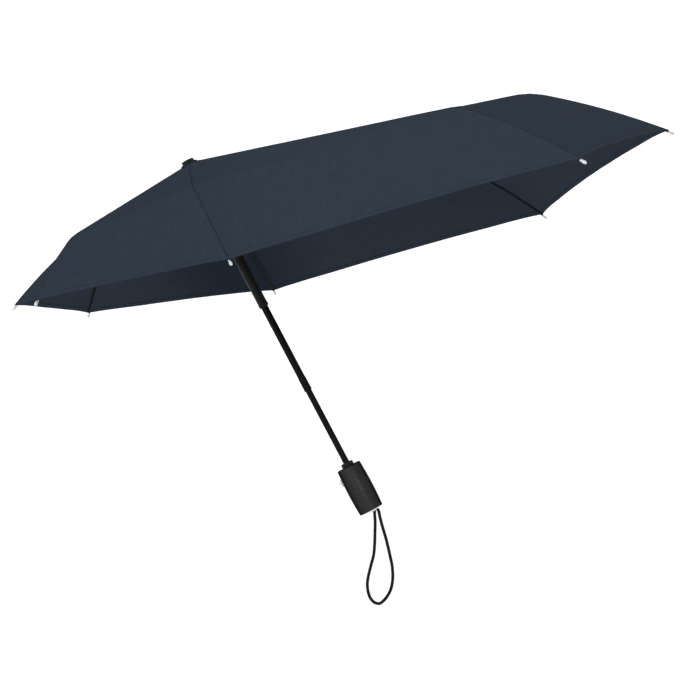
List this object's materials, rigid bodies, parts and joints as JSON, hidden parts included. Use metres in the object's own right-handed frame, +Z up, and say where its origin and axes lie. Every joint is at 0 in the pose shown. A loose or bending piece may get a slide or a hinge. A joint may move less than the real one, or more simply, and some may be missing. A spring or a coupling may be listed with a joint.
{
  "type": "folding umbrella",
  "caption": "Compact telescopic folding umbrella with a short front, a long tail, a push-button handle and a wrist loop.",
  "frame": {"origin": "centre of the grip, on the shaft's axis, 36 mm above the base of the handle", "axes": "+Z up the shaft to the crown, +X towards the long tail; the wearer faces -X and the wearer's left is -Y"},
  "size_m": [0.9613, 0.9216, 0.6973],
  "materials": {
    "grip": "soft-touch coating with a fine grain",
    "black_plastic": "satin moulded plastic",
    "cap_silver": "silver-white glossy",
    "button_grey": "light grey moulded plastic",
    "spring_steel": "bright wire",
    "shaft_black": "black satin coating",
    "cord_black": "braided cord",
    "cover_cloth": "woven pongee, dark slate blue",
    "rib_metal": "black coated channel",
    "rib_fibre": "black glass-fibre rod"
  },
  "bodies": {
    "handle": {"handle_shell": "grip", "guide_core": "black_plastic", "base_cap": "cap_silver", "lower_tube": "shaft_black", "main_spring": "spring_steel", "loop_pin": "spring_steel", "button_spring": "spring_steel"},
    "push_button": {"push_button": "button_grey", "latch_ring": "black_plastic"},
    "wrist_strap": {"loop_swivel": "black_plastic", "wrist_loop": "cord_black"},
    "middle_shaft": {"middle_tube": "shaft_black", "middle_collar": "shaft_black"},
    "canopy_head": {"top_tube": "shaft_black", "crown_hub": "black_plastic", "crown_ring": "spring_steel", "crown_cap": "black_plastic", "gore_tail_right": "cover_cloth", "gore_side_rear_right": "cover_cloth", "gore_side_front_right": "cover_cloth", "gore_nose_right": "cover_cloth", "gore_nose_left": "cover_cloth", "gore_side_front_left": "cover_cloth", "gore_side_rear_left": "cover_cloth", "gore_tail_left": "cover_cloth"},
    "runner": {"runner": "black_plastic", "runner_ring": "spring_steel"},
    "inner_rear": {"inner_rib_rear": "rib_metal"},
    "middle_rear": {"middle_rib_rear": "rib_metal"},
    "outer_rear": {"outer_rib_rear": "rib_fibre"},
    "stretcher_rear": {"stretcher_rear": "rib_metal"},
    "inner_rear_right": {"inner_rib_rear_right": "rib_metal"},
    "middle_rear_right": {"middle_rib_rear_right": "rib_metal"},
    "outer_rear_right": {"outer_rib_rear_right": "rib_fibre"},
    "stretcher_rear_right": {"stretcher_rear_right": "rib_metal"},
    "inner_right": {"inner_rib_right": "rib_metal"},
    "middle_right": {"middle_rib_right": "rib_metal"},
    "outer_right": {"outer_rib_right": "rib_fibre"},
    "stretcher_right": {"stretcher_right": "rib_metal"},
    "inner_front_right": {"inner_rib_front_right": "rib_metal"},
    "middle_front_right": {"middle_rib_front_right": "rib_metal"},
    "outer_front_right": {"outer_rib_front_right": "rib_fibre"},
    "stretcher_front_right": {"stretcher_front_right": "rib_metal"},
    "inner_front": {"inner_rib_front": "rib_metal"},
    "middle_front": {"middle_rib_front": "rib_metal"},
    "outer_front": {"outer_rib_front": "rib_fibre"},
    "stretcher_front": {"stretcher_front": "rib_metal"},
    "inner_front_left": {"inner_rib_front_left": "rib_metal"},
    "middle_front_left": {"middle_rib_front_left": "rib_metal"},
    "outer_front_left": {"outer_rib_front_left": "rib_fibre"},
    "stretcher_front_left": {"stretcher_front_left": "rib_metal"},
    "inner_left": {"inner_rib_left": "rib_metal"},
    "middle_left": {"middle_rib_left": "rib_metal"},
    "outer_left": {"outer_rib_left": "rib_fibre"},
    "stretcher_left": {"stretcher_left": "rib_metal"},
    "inner_rear_left": {"inner_rib_rear_left": "rib_metal"},
    "middle_rear_left": {"middle_rib_rear_left": "rib_metal"},
    "outer_rear_left": {"outer_rib_rear_left": "rib_fibre"},
    "stretcher_rear_left": {"stretcher_rear_left": "rib_metal"}
  },
  "joints": [
    {"name": "shaft_collapse", "type": "slide", "parent": "handle", "child": "middle_shaft", "axis": [0, 0, -1], "range_m": [0, 0.128], "deforming": ["main_spring"]},
    {"name": "shaft_collapse_upper", "type": "slide", "parent": "middle_shaft", "child": "canopy_head", "axis": [0, 0, -1], "range_m": [0, 0.128]},
    {"name": "canopy_fold", "type": "slide", "parent": "canopy_head", "child": "runner", "axis": [0, 0, -1], "range_m": [0, 0.06], "deforming": ["gore_tail_right", "gore_side_rear_right", "gore_side_front_right", "gore_nose_right", "gore_nose_left", "gore_side_front_left", "gore_side_rear_left", "gore_tail_left"]},
    {"name": "fold_inner_rear", "type": "hinge", "parent": "canopy_head", "child": "inner_rear", "pos_m": [0.013, 0, 0.5225], "axis": [0, 1, 0], "range_deg": [0, 73.62]},
    {"name": "fold_middle_rear", "type": "hinge", "parent": "inner_rear", "child": "middle_rear", "pos_m": [0.22843, 0, 0.46112], "axis": [0, 1, 0], "range_deg": [-180, 0]},
    {"name": "fold_outer_rear", "type": "hinge", "parent": "middle_rear", "child": "outer_rear", "pos_m": [0.4365, 0, 0.39596], "axis": [0, 1, 0], "range_deg": [0, 157.6]},
    {"name": "turn_stretcher_rear", "type": "hinge", "parent": "runner", "child": "stretcher_rear", "pos_m": [0.0094, 0, 0.422], "axis": [0, 1, 0], "range_deg": [-33.02, 0]},
    {"name": "fold_inner_rear_right", "type": "hinge", "parent": "canopy_head", "child": "inner_rear_right", "pos_m": [0.00916, 0.00922, 0.5225], "axis": [-0.7096, 0.7046, 0], "range_deg": [0, 73.81]},
    {"name": "fold_middle_rear_right", "type": "hinge", "parent": "inner_rear_right", "child": "middle_rear_right", "pos_m": [0.1645, 0.16565, 0.46047], "axis": [-0.7096, 0.7046, 0], "range_deg": [-180, 0]},
    {"name": "fold_outer_rear_right", "type": "hinge", "parent": "middle_rear_right", "child": "outer_rear_right", "pos_m": [0.31465, 0.31685, 0.39464], "axis": [-0.7096, 0.7046, 0], "range_deg": [0, 157.33]},
    {"name": "turn_stretcher_rear_right", "type": "hinge", "parent": "runner", "child": "stretcher_rear_right", "pos_m": [0.00662, 0.00667, 0.422], "axis": [-0.7096, 0.7046, 0], "range_deg": [-32.91, 0]},
    {"name": "fold_inner_right", "type": "hinge", "parent": "canopy_head", "child": "inner_right", "pos_m": [0.0002, 0.013, 0.5225], "axis": [-0.9999, 0.0157, 0], "range_deg": [0, 77.91]},
    {"name": "fold_middle_right", "type": "hinge", "parent": "inner_right", "child": "middle_right", "pos_m": [0.00256, 0.16298, 0.49229], "axis": [-0.9999, 0.0157, 0], "range_deg": [-180, 0]},
    {"name": "fold_outer_right", "type": "hinge", "parent": "middle_right", "child": "outer_right", "pos_m": [0.00484, 0.30786, 0.45735], "axis": [-0.9999, 0.0157, 0], "range_deg": [0, 149.59]},
    {"name": "turn_stretcher_right", "type": "hinge", "parent": "runner", "child": "stretcher_right", "pos_m": [0.00015, 0.0094, 0.422], "axis": [-0.9999, 0.0157, 0], "range_deg": [-30.76, 0]},
    {"name": "fold_inner_front_right", "type": "hinge", "parent": "canopy_head", "child": "inner_front_right", "pos_m": [-0.00937, 0.00901, 0.5225], "axis": [-0.6934, -0.7206, 0], "range_deg": [0, 81.95]},
    {"name": "fold_middle_front_right", "type": "hinge", "parent": "inner_front_right", "child": "middle_front_right", "pos_m": [-0.08804, 0.08472, 0.50896], "axis": [-0.6934, -0.7206, 0], "range_deg": [-180, 0]},
    {"name": "fold_outer_front_right", "type": "hinge", "parent": "middle_front_right", "child": "outer_front_right", "pos_m": [-0.16328, 0.15712, 0.49034], "axis": [-0.6934, -0.7206, 0], "range_deg": [0, 161.4]},
    {"name": "turn_stretcher_front_right", "type": "hinge", "parent": "runner", "child": "stretcher_front_right", "pos_m": [-0.00677, 0.00652, 0.422], "axis": [-0.6934, -0.7206, 0], "range_deg": [-28.79, 0]},
    {"name": "fold_inner_front", "type": "hinge", "parent": "canopy_head", "child": "inner_front", "pos_m": [-0.013, 0, 0.5225], "axis": [0, -1, 0], "range_deg": [0, 82.52]},
    {"name": "fold_middle_front", "type": "hinge", "parent": "inner_front", "child": "middle_front", "pos_m": [-0.10744, 0, 0.51201], "axis": [0, -1, 0], "range_deg": [-180, 0]},
    {"name": "fold_outer_front", "type": "hinge", "parent": "middle_front", "child": "outer_front", "pos_m": [-0.19717, 0, 0.49639], "axis": [0, -1, 0], "range_deg": [0, 171.54]},
    {"name": "turn_stretcher_front", "type": "hinge", "parent": "runner", "child": "stretcher_front", "pos_m": [-0.0094, 0, 0.422], "axis": [0, -1, 0], "range_deg": [-28.52, 0]},
    {"name": "fold_inner_front_left", "type": "hinge", "parent": "canopy_head", "child": "inner_front_left", "pos_m": [-0.00937, -0.00901, 0.5225], "axis": [0.6934, -0.7206, 0], "range_deg": [0, 81.95]},
    {"name": "fold_middle_front_left", "type": "hinge", "parent": "inner_front_left", "child": "middle_front_left", "pos_m": [-0.08804, -0.08472, 0.50896], "axis": [0.6934, -0.7206, 0], "range_deg": [-180, 0]},
    {"name": "fold_outer_front_left", "type": "hinge", "parent": "middle_front_left", "child": "outer_front_left", "pos_m": [-0.16328, -0.15712, 0.49034], "axis": [0.6934, -0.7206, 0], "range_deg": [0, 161.4]},
    {"name": "turn_stretcher_front_left", "type": "hinge", "parent": "runner", "child": "stretcher_front_left", "pos_m": [-0.00677, -0.00652, 0.422], "axis": [0.6934, -0.7206, 0], "range_deg": [-28.79, 0]},
    {"name": "fold_inner_left", "type": "hinge", "parent": "canopy_head", "child": "inner_left", "pos_m": [0.0002, -0.013, 0.5225], "axis": [0.9999, 0.0157, 0], "range_deg": [0, 77.91]},
    {"name": "fold_middle_left", "type": "hinge", "parent": "inner_left", "child": "middle_left", "pos_m": [0.00256, -0.16298, 0.49229], "axis": [0.9999, 0.0157, 0], "range_deg": [-180, 0]},
    {"name": "fold_outer_left", "type": "hinge", "parent": "middle_left", "child": "outer_left", "pos_m": [0.00484, -0.30786, 0.45735], "axis": [0.9999, 0.0157, 0], "range_deg": [0, 149.59]},
    {"name": "turn_stretcher_left", "type": "hinge", "parent": "runner", "child": "stretcher_left", "pos_m": [0.00015, -0.0094, 0.422], "axis": [0.9999, 0.0157, 0], "range_deg": [-30.76, 0]},
    {"name": "fold_inner_rear_left", "type": "hinge", "parent": "canopy_head", "child": "inner_rear_left", "pos_m": [0.00916, -0.00922, 0.5225], "axis": [0.7096, 0.7046, 0], "range_deg": [0, 73.81]},
    {"name": "fold_middle_rear_left", "type": "hinge", "parent": "inner_rear_left", "child": "middle_rear_left", "pos_m": [0.1645, -0.16565, 0.46047], "axis": [0.7096, 0.7046, 0], "range_deg": [-180, 0]},
    {"name": "fold_outer_rear_left", "type": "hinge", "parent": "middle_rear_left", "child": "outer_rear_left", "pos_m": [0.31465, -0.31685, 0.39464], "axis": [0.7096, 0.7046, 0], "range_deg": [0, 157.33]},
    {"name": "turn_stretcher_rear_left", "type": "hinge", "parent": "runner", "child": "stretcher_rear_left", "pos_m": [0.00662, -0.00667, 0.422], "axis": [0.7096, 0.7046, 0], "range_deg": [-32.91, 0]},
    {"name": "push_button", "type": "slide", "parent": "handle", "child": "push_button", "axis": [1, 0, 0], "range_m": [0, 0.0025], "stiffness_N_per_m": 800, "springref_m": -0.001, "deforming": ["button_spring"]},
    {"name": "strap_swing", "type": "hinge", "parent": "handle", "child": "wrist_strap", "pos_m": [0.0065, 0, -0.0352], "axis": [0, 1, 0], "range_deg": [-38, 12]}
  ],
  "couplings": [
    {"joint": "shaft_collapse_upper", "follows": "shaft_collapse", "ratio": 1},
    {"joint": "fold_inner_rear", "follows": "canopy_fold", "rad_per_m": 21.412},
    {"joint": "fold_middle_rear", "follows": "canopy_fold", "rad_per_m": -52.36},
    {"joint": "fold_outer_rear", "follows": "canopy_fold", "rad_per_m": 45.842},
    {"joint": "turn_stretcher_rear", "follows": "canopy_fold", "rad_per_m": -9.6022},
    {"joint": "fold_inner_rear_right", "follows": "canopy_fold", "rad_per_m": 21.47},
    {"joint": "fold_middle_rear_right", "follows": "canopy_fold", "rad_per_m": -52.36},
    {"joint": "fold_outer_rear_right", "follows": "canopy_fold", "rad_per_m": 45.763},
    {"joint": "turn_stretcher_rear_right", "follows": "canopy_fold", "rad_per_m": -9.5707},
    {"joint": "fold_inner_right", "follows": "canopy_fold", "rad_per_m": 22.661},
    {"joint": "fold_middle_right", "follows": "canopy_fold", "rad_per_m": -52.36},
    {"joint": "fold_outer_right", "follows": "canopy_fold", "rad_per_m": 43.511},
    {"joint": "turn_stretcher_right", "follows": "canopy_fold", "rad_per_m": -8.9454},
    {"joint": "fold_inner_front_right", "follows": "canopy_fold", "rad_per_m": 23.835},
    {"joint": "fold_middle_front_right", "follows": "canopy_fold", "rad_per_m": -52.36},
    {"joint": "fold_outer_front_right", "follows": "canopy_fold", "rad_per_m": 46.947},
    {"joint": "turn_stretcher_front_right", "follows": "canopy_fold", "rad_per_m": -8.372},
    {"joint": "fold_inner_front", "follows": "canopy_fold", "rad_per_m": 24.003},
    {"joint": "fold_middle_front", "follows": "canopy_fold", "rad_per_m": -52.36},
    {"joint": "fold_outer_front", "follows": "canopy_fold", "rad_per_m": 49.898},
    {"joint": "turn_stretcher_front", "follows": "canopy_fold", "rad_per_m": -8.2935},
    {"joint": "fold_inner_front_left", "follows": "canopy_fold", "rad_per_m": 23.835},
    {"joint": "fold_middle_front_left", "follows": "canopy_fold", "rad_per_m": -52.36},
    {"joint": "fold_outer_front_left", "follows": "canopy_fold", "rad_per_m": 46.947},
    {"joint": "turn_stretcher_front_left", "follows": "canopy_fold", "rad_per_m": -8.372},
    {"joint": "fold_inner_left", "follows": "canopy_fold", "rad_per_m": 22.661},
    {"joint": "fold_middle_left", "follows": "canopy_fold", "rad_per_m": -52.36},
    {"joint": "fold_outer_left", "follows": "canopy_fold", "rad_per_m": 43.511},
    {"joint": "turn_stretcher_left", "follows": "canopy_fold", "rad_per_m": -8.9454},
    {"joint": "fold_inner_rear_left", "follows": "canopy_fold", "rad_per_m": 21.47},
    {"joint": "fold_middle_rear_left", "follows": "canopy_fold", "rad_per_m": -52.36},
    {"joint": "fold_outer_rear_left", "follows": "canopy_fold", "rad_per_m": 45.763},
    {"joint": "turn_stretcher_rear_left", "follows": "canopy_fold", "rad_per_m": -9.5707}
  ]
}
